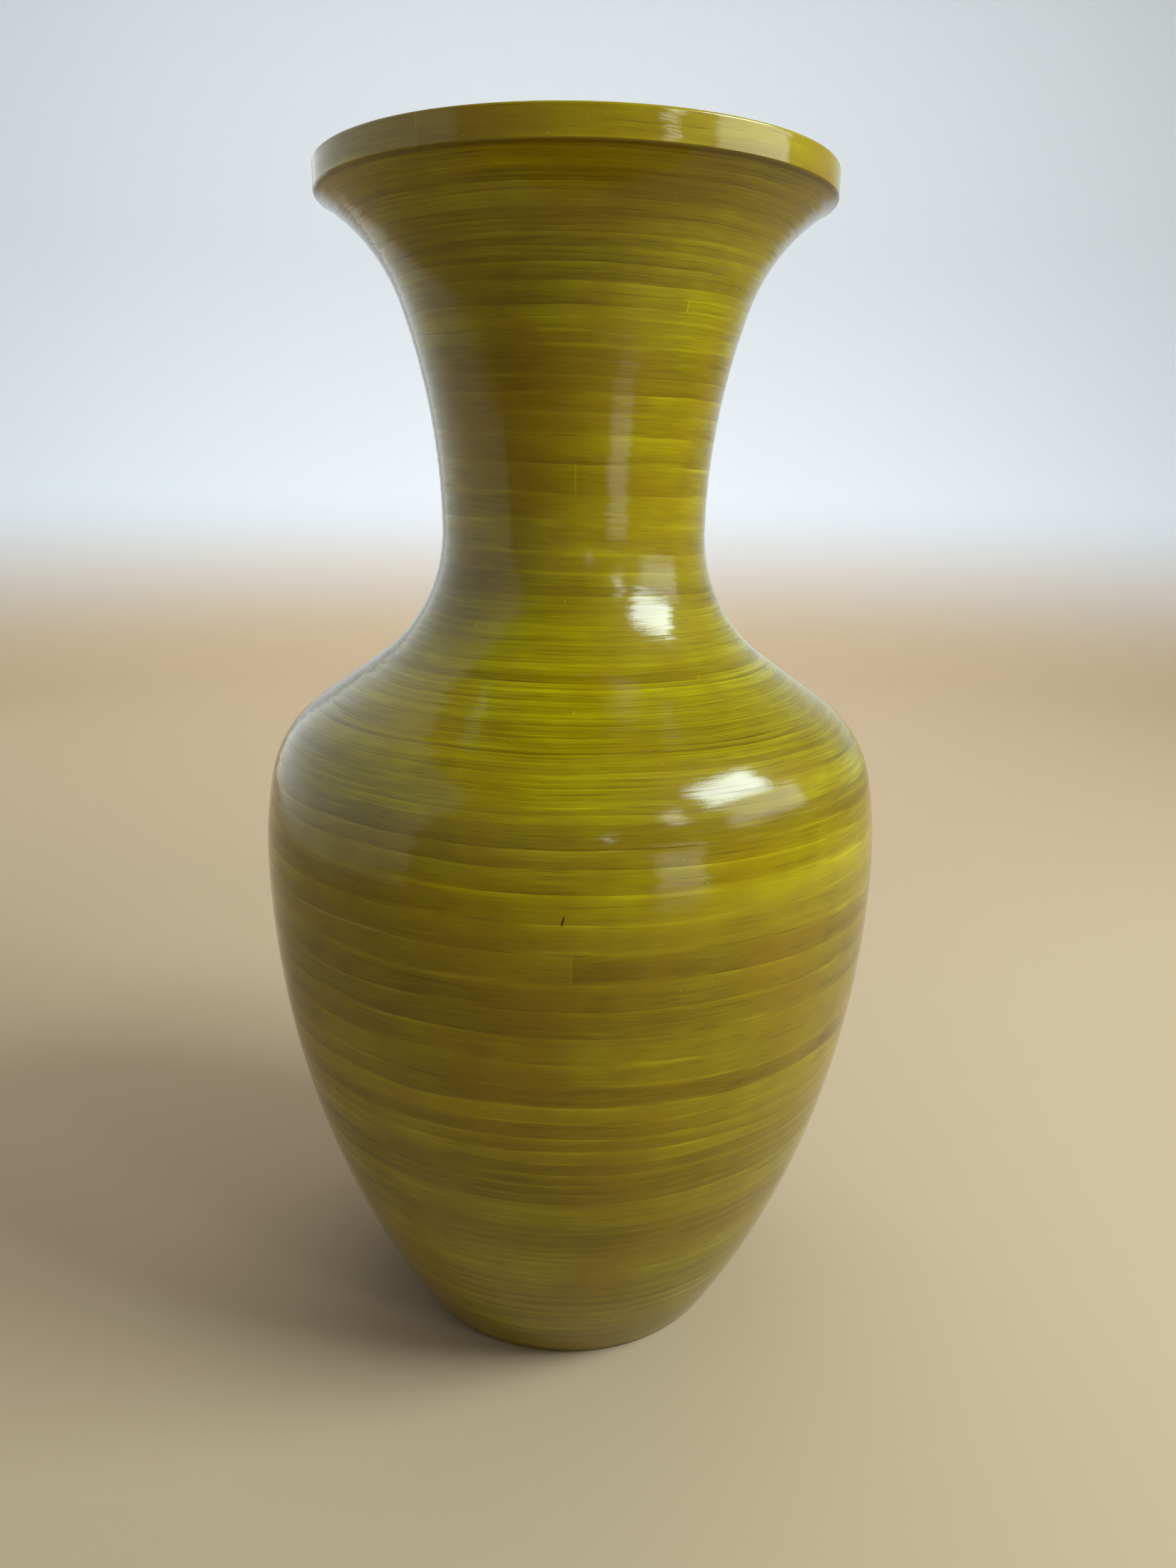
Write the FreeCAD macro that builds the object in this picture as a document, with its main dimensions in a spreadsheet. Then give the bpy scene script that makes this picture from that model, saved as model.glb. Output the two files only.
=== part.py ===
# Bamboo vase, wound from long flat strips of bamboo, pushed into shape, glued, turned smooth and lacquered.
# Millimetres, +Z up, origin in the middle of the circle that the vase stands on.
#
# The outside is one smooth outline of tangent arcs: lower body, upper body, shoulder, straight slope, neck,
# flare and lip. The wall is a stack of glued coils. A coil ends where one strip ends and the next is butted
# on, and the strips' flat sides lean through the wall, so each coil overlaps the next like a scarf joint.
# The flat disc of the base is wound round a rolled core inside the first coil of the wall, and the rim is a
# band of strips wound round the mouth, a hair proud of the wall under it.

import FreeCAD, Part
import math
import os

import Sketcher

UP, DOWN = 1, -1

# Driving sizes, in millimetres.
SIZES = [
    ("strip_width", 10.0, "width of a bamboo strip"),
    ("wall", 6.0, "thickness of the turned wall, square to the outside"),
    ("foot_radius", 67.0, "outside of the circle that the vase stands on"),
    ("foot_width", 8.0, "width of the ring that the vase stands on"),
    ("base_recess", 3.0, "height of the base's underside over the table"),
    ("core_radius", 8.0, "rolled core that the base is wound on"),
    ("base_split_radius", 34.0, "joint between the two coils of the base"),
    ("belly_radius", 122.5, "widest radius of the body"),
    ("body_height", 199.0, "from the table to the widest place"),
    ("upper_arc", 162.0, "outline radius just over the widest place"),
    ("upper_rise", 33.0, "height of that arc"),
    ("shoulder_arc", 43.6, "outline radius of the shoulder"),
    ("slope_length", 29.8, "length of the straight slope from the shoulder to the neck"),
    ("waist_radius", 51.0, "narrowest radius of the neck"),
    ("shoulder_height", 126.0, "from the widest place to the narrowest"),
    ("flare_arc", 242.0, "outline radius over the waist"),
    ("flare_rise", 79.0, "height of that arc"),
    ("flare_spread", 42.5, "how far the flare leaves the waist outwards"),
    ("neck_height", 115.0, "from the narrowest place to the underside of the rim band"),
    ("rim_ledge", 0.6, "how far the rim band stands proud of the flare"),
    ("rim_top_chamfer", 1.6, "broken upper edges of the rim band"),
    ("rim_underside_chamfer", 0.5, "broken lower edge of the rim band"),
]

# Sizes that follow from them. Angles give the way square to the wall, counted upwards from level.
DERIVED = [
    ("lap", "sqrt(strip_width ^ 2 - wall ^ 2)"),
    ("foot_inner_radius", "foot_radius - foot_width"),
    ("base_top", "base_recess + strip_width"),
    ("body_spread", "belly_radius - foot_radius"),
    ("lower_arc", "(body_spread ^ 2 + body_height ^ 2) / (2 * body_spread)"),
    ("lower_centre_r", "belly_radius - lower_arc"),
    ("lower_centre_z", "body_height"),
    ("lower_start", "-asin(body_height / lower_arc)"),
    ("lower_end", "0deg"),
    ("base_edge_radius", "lower_centre_r + sqrt((lower_arc - wall) ^ 2 - (body_height - base_top) ^ 2)"),
    ("upper_centre_r", "belly_radius - upper_arc"),
    ("upper_centre_z", "body_height"),
    ("upper_start", "0deg"),
    ("upper_end", "asin(upper_rise / upper_arc)"),
    ("shoulder_centre_r", "upper_centre_r + (upper_arc - shoulder_arc) * cos(upper_end)"),
    ("shoulder_centre_z", "upper_centre_z + (upper_arc - shoulder_arc) * sin(upper_end)"),
    ("waist_height", "body_height + shoulder_height"),
    ("shoulder_run", "shoulder_centre_r + shoulder_arc - waist_radius"),
    ("shoulder_climb", "waist_height - shoulder_centre_z + slope_length"),
    ("shoulder_start", "upper_end"),
    ("shoulder_end", "2 * atan(shoulder_run / shoulder_climb)"),
    ("slope_start_r", "shoulder_centre_r + shoulder_arc * cos(shoulder_end)"),
    ("slope_start_z", "shoulder_centre_z + shoulder_arc * sin(shoulder_end)"),
    ("slope_end_r", "slope_start_r - slope_length * sin(shoulder_end)"),
    ("slope_end_z", "slope_start_z + slope_length * cos(shoulder_end)"),
    ("neck_arc", "(waist_height - slope_end_z) / sin(shoulder_end)"),
    ("neck_centre_r", "waist_radius + neck_arc"),
    ("neck_centre_z", "waist_height"),
    ("neck_start", "shoulder_end"),
    ("neck_end", "0deg"),
    ("flare_centre_r", "waist_radius + flare_arc"),
    ("flare_centre_z", "waist_height"),
    ("flare_start", "0deg"),
    ("flare_end", "-asin(flare_rise / flare_arc)"),
    ("lip_height", "waist_height + neck_height"),
    ("lip_radius", "waist_radius + flare_spread"),
    ("lip_run", "lip_radius - (flare_centre_r - flare_arc * cos(flare_end))"),
    ("lip_rise", "neck_height - flare_rise"),
    ("lip_bend", "lip_run * cos(flare_end) + lip_rise * sin(flare_end)"),
    ("lip_arc", "(lip_run ^ 2 + lip_rise ^ 2) / (2 * lip_bend)"),
    ("lip_centre_r", "flare_centre_r + (lip_arc - flare_arc) * cos(flare_end)"),
    ("lip_centre_z", "flare_centre_z + (lip_arc - flare_arc) * sin(flare_end)"),
    ("lip_start", "flare_end"),
    ("lip_end", "-asin((lip_height - lip_centre_z) / lip_arc)"),
    ("mouth_radius", "lip_centre_r - sqrt((lip_arc + wall) ^ 2 - (lip_height - lip_centre_z) ^ 2)"),
    ("rim_radius", "lip_radius + rim_ledge"),
]

# The coils from the foot up: the stretch of the outline that they lie on, the names of the coils on it, and
# the way in which a strip's flat side runs from the outside of the wall to the inside. It runs up where the
# wall leans outwards, and down where the wall leans inwards.
WINDING = [
    ("lower", ["foot_coil"] + [f"lower_body_coil_{n}" for n in range(1, 6)], UP),
    ("upper", ["upper_body_coil"], DOWN),
    ("shoulder", ["shoulder_coil"], DOWN),
    ("slope", ["slope_coil"], DOWN),
    ("neck", [f"neck_coil_{n}" for n in range(1, 4)], DOWN),
    ("flare", [f"flare_coil_{n}" for n in range(1, 3)], UP),
    ("lip", [f"lip_coil_{n}" for n in range(1, 3)], UP),
]
HOLLOW_OUTSIDE = ("neck", "flare", "lip")  # stretches whose arc has its centre outside the vase
MATCH_SHARE = 1e-6  # how nearly an edge must lie where it is looked for, as a share of its radius


def make_sheet(doc):
    """The spreadsheet that holds every size, driving ones as plain numbers and the others as formulas."""
    sheet = doc.addObject("Spreadsheet::Sheet", "sizes")
    row = 1
    for alias, value, note in SIZES:
        sheet.set(f"A{row}", alias)
        sheet.set(f"B{row}", str(value))
        sheet.setAlias(f"B{row}", alias)
        sheet.set(f"C{row}", note)
        row += 1
    for alias, formula in DERIVED:
        sheet.set(f"A{row}", alias)
        sheet.set(f"B{row}", "=" + formula)
        sheet.setAlias(f"B{row}", alias)
        row += 1
    doc.recompute()
    return sheet


def number(sheet, expression):
    """What an expression comes to, as a plain number."""
    value = sheet.evalExpression(expression)
    return float(getattr(value, "Value", value))


def origin_plane(body, role):
    """One of a body's own origin planes."""
    return next(plane for plane in body.Origin.OriginFeatures if plane.Role == role)


def new_body(doc, name):
    """An empty body whose label is the name of the piece."""
    body = doc.addObject("PartDesign::Body", name)
    body.Label = name
    return body


def new_sketch(body, role):
    """An empty sketch on one of the body's origin planes."""
    sketch = body.newObject("Sketcher::SketchObject", body.Name + "_section")
    sketch.AttachmentSupport = [(origin_plane(body, role), "")]
    sketch.MapMode = "FlatFace"
    return sketch


def bind(sketch, constraint, name, expression):
    """Adds a constraint under a name and ties it to the sheet."""
    sketch.addConstraint(constraint)
    sketch.renameConstraint(sketch.ConstraintCount - 1, name)
    sketch.setExpression("Constraints." + name, expression)


def outside_point(stretch, share):
    """Radius, height and the angle square to the wall at a share of a stretch, all as expressions."""
    if stretch == "slope":
        radius = f"(sizes.slope_start_r + (sizes.slope_end_r - sizes.slope_start_r) * {share})"
        height = f"(sizes.slope_start_z + (sizes.slope_end_z - sizes.slope_start_z) * {share})"
        return radius, height, "sizes.shoulder_end"
    angle = f"(sizes.{stretch}_start + (sizes.{stretch}_end - sizes.{stretch}_start) * {share})"
    sign = "-" if stretch in HOLLOW_OUTSIDE else "+"
    radius = f"(sizes.{stretch}_centre_r {sign} sizes.{stretch}_arc * cos({angle}))"
    height = f"(sizes.{stretch}_centre_z {sign} sizes.{stretch}_arc * sin({angle}))"
    return radius, height, angle


def seam(stretch, share, lean):
    """The two corners of a seam between coils, outside and inside, a strip's width apart."""
    radius, height, angle = outside_point(stretch, share)
    step = f"({lean} * sizes.lap)"
    inner_radius = f"{radius} - sizes.wall * cos({angle}) - {step} * sin({angle})"
    inner_height = f"{height} - sizes.wall * sin({angle}) + {step} * cos({angle})"
    return (radius, height), (inner_radius, inner_height)


def arc_between(low, high, radius, hollow):
    """The outline's arc between two corners, drawn anticlockwise as a sketch keeps it."""
    half = (high - low) * 0.5
    rise = math.sqrt(radius ** 2 - half.Length ** 2)
    inwards = FreeCAD.Vector(-half.y, half.x, 0).normalize()
    centre = low + half + inwards * (-rise if hollow else rise)
    middle = centre + inwards * (radius if hollow else -radius)
    first, last = (high, low) if hollow else (low, high)
    return Part.Arc(first, middle, last)


def turned_coil(doc, sheet, name, corners, stretch):
    """A coil turned from its section. The corners go up the outside, and on round the inside."""
    body = new_body(doc, name)
    sketch = new_sketch(body, "XZ_Plane")
    points = [FreeCAD.Vector(number(sheet, r), number(sheet, z), 0) for r, z in corners]
    hollow = stretch in HOLLOW_OUTSIDE
    if stretch == "slope":
        sketch.addGeometry(Part.LineSegment(points[0], points[1]))
    else:
        radius = number(sheet, f"sizes.{stretch}_arc")
        sketch.addGeometry(arc_between(points[0], points[1], radius, hollow))
    bottom, top = (2, 1) if hollow else (1, 2)
    for start, end in zip(points[1:], points[2:] + points[:1]):
        sketch.addGeometry(Part.LineSegment(start, end))
    last = len(points) - 1
    sketch.addConstraint(Sketcher.Constraint("Coincident", 0, top, 1, 1))
    for side in range(1, last):
        sketch.addConstraint(Sketcher.Constraint("Coincident", side, 2, side + 1, 1))
    sketch.addConstraint(Sketcher.Constraint("Coincident", last, 2, 0, bottom))
    places = [(0, bottom), (0, top)] + [(side, 2) for side in range(1, last)]
    for place, (geometry, end) in enumerate(places):
        point, (r, z) = points[place], corners[place]
        bind(sketch, Sketcher.Constraint("DistanceX", geometry, end, point.x), f"radius_{place}", r)
        if z == "0":
            sketch.addConstraint(Sketcher.Constraint("PointOnObject", geometry, end, -1))
        else:
            bind(sketch, Sketcher.Constraint("DistanceY", geometry, end, point.y), f"height_{place}", z)
    if stretch != "slope":
        bind(sketch, Sketcher.Constraint("Radius", 0, radius), "outline", f"sizes.{stretch}_arc")
    turned = body.newObject("PartDesign::Revolution", name + "_turned")
    turned.Profile = sketch
    turned.ReferenceAxis = (sketch, ["V_Axis"])
    turned.Angle = 360
    sketch.Visibility = False
    return body


def make_wall(doc, sheet):
    """The coils of the wall, from the foot to the lip."""
    foot = [("sizes.base_edge_radius", "sizes.base_top"), ("sizes.foot_inner_radius", "sizes.base_top"),
            ("sizes.foot_inner_radius", "0")]
    lip = ("sizes.mouth_radius", "sizes.lip_height")
    below = None
    coils = []
    for stretch, names, lean in WINDING:
        for place, name in enumerate(names, start=1):
            outside, inside = seam(stretch, place / len(names), lean)
            if name == WINDING[-1][1][-1]:
                inside = lip
            if below is None:
                corners = [("sizes.foot_radius", "0"), outside, inside] + foot
            else:
                corners = [below[0], outside, inside, below[1]]
            coils.append(turned_coil(doc, sheet, name, corners, stretch))
            below = (outside, inside)
    return coils


def flat_ring(doc, sheet, name, outer, inner, bottom):
    """A ring as thick as a strip is wide, padded up, or a disc where no inner radius is given."""
    body = new_body(doc, name)
    sketch = new_sketch(body, "XY_Plane")
    radii = [("outer", outer)] if inner is None else [("outer", outer), ("inner", inner)]
    for place, (label, radius) in enumerate(radii):
        size = number(sheet, radius)
        sketch.addGeometry(Part.Circle(FreeCAD.Vector(), FreeCAD.Vector(0, 0, 1), size))
        sketch.addConstraint(Sketcher.Constraint("Coincident", place, 3, -1, 1))
        bind(sketch, Sketcher.Constraint("Radius", place, size), label, radius)
    sketch.setExpression("AttachmentOffset.Base.z", bottom)
    pad = body.newObject("PartDesign::Pad", name + "_pad")
    pad.Profile = sketch
    pad.setExpression("Length", "sizes.strip_width")
    sketch.Visibility = False
    return body


def make_base(doc, sheet):
    """The flat base: a rolled core and two coils wound round it, flush with the shelf in the foot coil."""
    rings = [
        ("base_core", "sizes.core_radius", None),
        ("base_inner_coil", "sizes.base_split_radius", "sizes.core_radius"),
        ("base_outer_coil", "sizes.foot_inner_radius", "sizes.base_split_radius"),
    ]
    return [flat_ring(doc, sheet, *ring, "sizes.base_recess") for ring in rings]


def edges_at(feature, radius, height):
    """Names of a feature's round edges at a radius and a height."""
    close = radius * MATCH_SHARE
    found = []
    for place, edge in enumerate(feature.Shape.Edges, start=1):
        if not isinstance(edge.Curve, Part.Circle):
            continue
        if abs(edge.Curve.Radius - radius) < close and abs(edge.Curve.Center.z - height) < close:
            found.append(f"Edge{place}")
    return found


def break_edges(doc, body, name, places, size):
    """Chamfers the body's round edges at the given radii and heights."""
    doc.recompute()
    feature = body.Tip
    edges = [edge for radius, height in places for edge in edges_at(feature, radius, height)]
    chamfer = body.newObject("PartDesign::Chamfer", name)
    chamfer.Base = (feature, edges)
    chamfer.setExpression("Size", size)


def make_rim(doc, sheet):
    """The band of strips wound round the mouth, its upper edges broken wide and its lower one narrowly."""
    body = flat_ring(doc, sheet, "rim_band", "sizes.rim_radius", "sizes.mouth_radius", "sizes.lip_height")
    outer, inner = number(sheet, "sizes.rim_radius"), number(sheet, "sizes.mouth_radius")
    bottom, top = number(sheet, "sizes.lip_height"), number(sheet, "sizes.lip_height + sizes.strip_width")
    break_edges(doc, body, "rim_top", [(outer, top), (inner, top)], "sizes.rim_top_chamfer")
    break_edges(doc, body, "rim_underside", [(outer, bottom)], "sizes.rim_underside_chamfer")
    return body


def check(doc, bodies):
    """Stops if an object has failed or a piece isn't one valid closed solid."""
    for item in doc.Objects:
        if "Invalid" in item.State or "Error" in item.State:
            raise RuntimeError(f"{item.Name} failed: {item.State}")
    for body in bodies:
        if body.Shape.isNull() or not body.Shape.isValid() or len(body.Shape.Solids) != 1:
            raise RuntimeError(f"{body.Label} is not one valid solid")


def main():
    """Builds the document and writes each piece to its own file."""
    doc = FreeCAD.newDocument("bamboo_vase")
    sheet = make_sheet(doc)
    bodies = make_base(doc, sheet) + make_wall(doc, sheet) + [make_rim(doc, sheet)]
    doc.recompute()
    check(doc, bodies)
    os.makedirs("parts", exist_ok=True)
    for body in bodies:
        body.Shape.exportStep(os.path.join("parts", body.Label + ".step"))
        print(f"{body.Label}: {body.Shape.Volume:.0f} mm3, {len(body.Shape.Faces)} faces")


main()
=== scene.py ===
import logging
import math
from dataclasses import dataclass, field
from enum import Enum

import bmesh
import bpy
from mathutils import Matrix, Vector


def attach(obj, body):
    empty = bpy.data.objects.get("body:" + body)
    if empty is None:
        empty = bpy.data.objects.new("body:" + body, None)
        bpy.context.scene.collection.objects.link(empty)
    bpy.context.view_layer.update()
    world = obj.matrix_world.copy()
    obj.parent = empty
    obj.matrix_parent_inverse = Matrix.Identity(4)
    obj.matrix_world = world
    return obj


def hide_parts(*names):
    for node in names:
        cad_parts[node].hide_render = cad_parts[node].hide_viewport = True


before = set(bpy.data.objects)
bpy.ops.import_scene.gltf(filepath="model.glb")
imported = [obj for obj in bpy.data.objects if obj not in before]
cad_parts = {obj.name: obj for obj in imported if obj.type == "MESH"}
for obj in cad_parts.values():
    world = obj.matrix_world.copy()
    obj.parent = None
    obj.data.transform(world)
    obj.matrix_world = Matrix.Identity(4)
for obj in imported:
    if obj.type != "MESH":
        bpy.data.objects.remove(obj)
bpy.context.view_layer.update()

ROOT = "root"
MM = 0.001
TURN_ANGLE = math.tau
QUARTER = math.tau / 4
SHARP_ANGLE = math.radians(35)
LOG = logging.getLogger("bamboo_vase")
Colour = tuple[float, float, float]
Socket = bpy.types.NodeSocket
NodeTree = bpy.types.NodeTree
Material = bpy.types.Material


class Bend(Enum):
    """Which way a stretch of the outline curves."""

    BULGED = 1
    STRAIGHT = 0
    HOLLOW = -1


class Lean(Enum):
    """Which way a strip's flat side runs from the outside of the wall to the inside."""

    UP = 1
    DOWN = -1


@dataclass(frozen=True)
class Stretch:
    """One arc or straight run of the outline, from the foot side to the rim side."""

    bend: Bend
    origin: tuple[float, float]
    size: float
    start: float
    end: float

    def at(self, share: float) -> tuple[float, float, float]:
        """A point of the stretch.

        Args:
            share: how far along the stretch, 0 to 1.

        Returns:
            Radius and height in metres, and the angle square to the wall, upwards from level.
        """
        angle = self.start + (self.end - self.start) * share
        if self.bend is Bend.STRAIGHT:
            run = self.size * share
            return (self.origin[0] - run * math.sin(angle), self.origin[1] + run * math.cos(angle), angle)
        side = self.bend.value * self.size
        return (self.origin[0] + side * math.cos(angle), self.origin[1] + side * math.sin(angle), angle)

    def length(self) -> float:
        """Length along the stretch in metres."""
        if self.bend is Bend.STRAIGHT:
            return self.size
        return abs(self.end - self.start) * self.size


@dataclass(frozen=True)
class Outline:
    """The turned outline of the vase, in metres, from the same driving sizes as the solids."""

    wall: float = 6.0 * MM
    foot_radius: float = 67.0 * MM
    foot_width: float = 8.0 * MM
    base_recess: float = 3.0 * MM
    belly_radius: float = 122.5 * MM
    body_height: float = 199.0 * MM
    upper_arc: float = 162.0 * MM
    upper_rise: float = 33.0 * MM
    shoulder_arc: float = 43.6 * MM
    slope_length: float = 29.8 * MM
    waist_radius: float = 51.0 * MM
    shoulder_height: float = 126.0 * MM
    flare_arc: float = 242.0 * MM
    flare_rise: float = 79.0 * MM
    flare_spread: float = 42.5 * MM
    neck_height: float = 115.0 * MM

    @property
    def waist_height(self) -> float:
        """How high the narrowest place is, in metres."""
        return self.body_height + self.shoulder_height

    @property
    def lip_height(self) -> float:
        """How high the wall reaches, where the rim band starts, in metres."""
        return self.waist_height + self.neck_height

    def stretches(self) -> dict[str, Stretch]:
        """The tangent stretches of the outline by name, from the foot up.

        Returns:
            Each stretch by its name, in order.
        """
        spread = self.belly_radius - self.foot_radius
        lower = (spread ** 2 + self.body_height ** 2) / (2 * spread)
        upper_end = math.asin(self.upper_rise / self.upper_arc)
        drop = self.upper_arc - self.shoulder_arc
        shoulder = (self.belly_radius - self.upper_arc + drop * math.cos(upper_end),
                    self.body_height + drop * math.sin(upper_end))
        waist = self.waist_height
        run = shoulder[0] + self.shoulder_arc - self.waist_radius
        climb = waist - shoulder[1] + self.slope_length
        tilt = 2 * math.atan(run / climb)
        slope = (shoulder[0] + self.shoulder_arc * math.cos(tilt),
                 shoulder[1] + self.shoulder_arc * math.sin(tilt))
        neck = (waist - slope[1] - self.slope_length * math.cos(tilt)) / math.sin(tilt)
        flare_end = -math.asin(self.flare_rise / self.flare_arc)
        flare = (self.waist_radius + self.flare_arc, waist)
        lip_run = self.flare_spread - self.flare_arc * (1 - math.cos(flare_end))
        lip_rise = self.neck_height - self.flare_rise
        bend = lip_run * math.cos(flare_end) + lip_rise * math.sin(flare_end)
        lip_arc = (lip_run ** 2 + lip_rise ** 2) / (2 * bend)
        pull = lip_arc - self.flare_arc
        lip = (flare[0] + pull * math.cos(flare_end), flare[1] + pull * math.sin(flare_end))
        lip_end = -math.asin((waist + self.neck_height - lip[1]) / lip_arc)
        foot_angle = -math.asin(self.body_height / lower)
        return {
            "lower": Stretch(Bend.BULGED, (self.belly_radius - lower, self.body_height),
                             lower, foot_angle, 0.0),
            "upper": Stretch(Bend.BULGED, (self.belly_radius - self.upper_arc, self.body_height),
                             self.upper_arc, 0.0, upper_end),
            "shoulder": Stretch(Bend.BULGED, shoulder, self.shoulder_arc, upper_end, tilt),
            "slope": Stretch(Bend.STRAIGHT, slope, self.slope_length, tilt, tilt),
            "neck": Stretch(Bend.HOLLOW, (self.waist_radius + neck, waist), neck, tilt, 0.0),
            "flare": Stretch(Bend.HOLLOW, flare, self.flare_arc, 0.0, flare_end),
            "lip": Stretch(Bend.HOLLOW, lip, lip_arc, flare_end, lip_end),
        }


@dataclass(frozen=True)
class Strip:
    """The bamboo strip that everything is wound from."""

    width: float = 10.0 * MM
    thickness: float = 1.15 * MM

    def shown(self, angle: float) -> float:
        """How much of each turn shows where the wall's square angle is as given, in metres."""
        lean = abs(math.sin(angle))
        return min(self.width, self.thickness / max(lean, self.thickness / self.width))


@dataclass(frozen=True)
class SectionPoint:
    """A point of a piece's section: its place, its turn of strip, and how relief moves it."""

    radius: float
    height: float
    turn: float
    width: float
    relief: float = 0.0
    out: tuple[float, float] = (0.0, 0.0)


@dataclass(frozen=True)
class Coil:
    """One glued length of winding: the stretch of the outline it lies on, and its share of it."""

    name: str
    stretch: str
    first: float
    last: float
    lean: Lean


def enabled_socket(sockets: bpy.types.bpy_prop_collection, label: str) -> Socket:
    """The enabled socket with a name."""
    return next(s for s in sockets if s.name == label and s.enabled)


class Outputs:
    """A node's enabled outputs, looked up by name."""

    def __init__(self, node: bpy.types.Node) -> None:
        """Keeps the node.

        Args:
            node: the node whose outputs are looked up.
        """
        self.node = node

    def __getitem__(self, label: str) -> Socket:
        """The output with a name."""
        return enabled_socket(self.node.outputs, label)


class NodeNet:
    """Short calls that add nodes to a tree and join them."""

    def __init__(self, tree: NodeTree) -> None:
        """Keeps the tree.

        Args:
            tree: the tree that nodes go into.
        """
        self.tree = tree

    def add(self, kind: str, inputs: dict[str, object] | None = None, **settings: object) -> Outputs:
        """Adds a node.

        Args:
            kind: the node's type name.
            inputs: sockets to join, or values to set, by socket name.
            settings: the node's own settings.

        Returns:
            The node's outputs by name.
        """
        node = self.tree.nodes.new(kind)
        for label, value in settings.items():
            setattr(node, label, value)
        for label, value in (inputs or {}).items():
            self.feed(enabled_socket(node.inputs, label), value)
        return Outputs(node)

    def feed(self, socket: Socket, value: object) -> None:
        """Joins a socket to another one, or sets its value.

        Args:
            socket: the input to feed.
            value: the socket to join it to, or its value.
        """
        if isinstance(value, Socket):
            self.tree.links.new(value, socket)
        else:
            socket.default_value = value

    def math(self, operation: str, *values: object) -> Socket:
        """Adds a math node on one or more values and gives its output.

        Args:
            operation: the node's operation.
            values: sockets or numbers, in the node's order.

        Returns:
            The result.
        """
        node = self.tree.nodes.new("ShaderNodeMath")
        node.operation = operation
        for socket, value in zip(node.inputs, values):
            self.feed(socket, value)
        return node.outputs[0]

    def sum(self, first: object, second: object) -> Socket:
        """Adds two numbers."""
        return self.math("ADD", first, second)

    def less(self, first: object, second: object) -> Socket:
        """Takes the second number from the first."""
        return self.math("SUBTRACT", first, second)

    def times(self, first: object, second: object) -> Socket:
        """Multiplies two numbers."""
        return self.math("MULTIPLY", first, second)

    def most(self, first: object, *others: object) -> Socket:
        """The largest of some numbers.

        Args:
            first: a socket or number.
            others: the sockets or numbers to set it against.

        Returns:
            The largest.
        """
        for other in others:
            first = self.math("MAXIMUM", first, other)
        return first

    def vector(self, operation: str, *values: object) -> Socket:
        """Adds a vector math node on one or more values and gives its vector.

        Args:
            operation: the node's operation.
            values: sockets or numbers, in the node's order.

        Returns:
            The resulting vector.
        """
        node = self.tree.nodes.new("ShaderNodeVectorMath")
        node.operation = operation
        for socket, value in zip((s for s in node.inputs if s.enabled), values):
            self.feed(socket, value)
        return node.outputs["Vector"]

    def split(self, vector: Socket) -> Outputs:
        """The three parts of a vector."""
        return self.add("ShaderNodeSeparateXYZ", {"Vector": vector})

    def fade(self, value: object, fade: "Fade") -> Socket:
        """Passes a value through a fade.

        Args:
            value: what rises.
            fade: where the change lies, and its two ends.

        Returns:
            The faded number.
        """
        limits = {"From Min": fade.low, "From Max": fade.high, "To Min": fade.below, "To Max": fade.above}
        return self.add("ShaderNodeMapRange", {"Value": value} | limits,
                        interpolation_type="SMOOTHSTEP")["Result"]

    def store(self, mesh: object, name: str, value: object, kind: str, domain: str) -> Socket:
        """Writes a field to a named attribute of a mesh and gives the mesh."""
        return self.add("GeometryNodeStoreNamedAttribute", {"Geometry": mesh, "Name": name, "Value": value},
                        data_type=kind, domain=domain)["Geometry"]


@dataclass(frozen=True)
class Fade:
    """A smooth change from one number to another while a value rises from low to high."""

    low: object
    high: object
    below: float
    above: float


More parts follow.
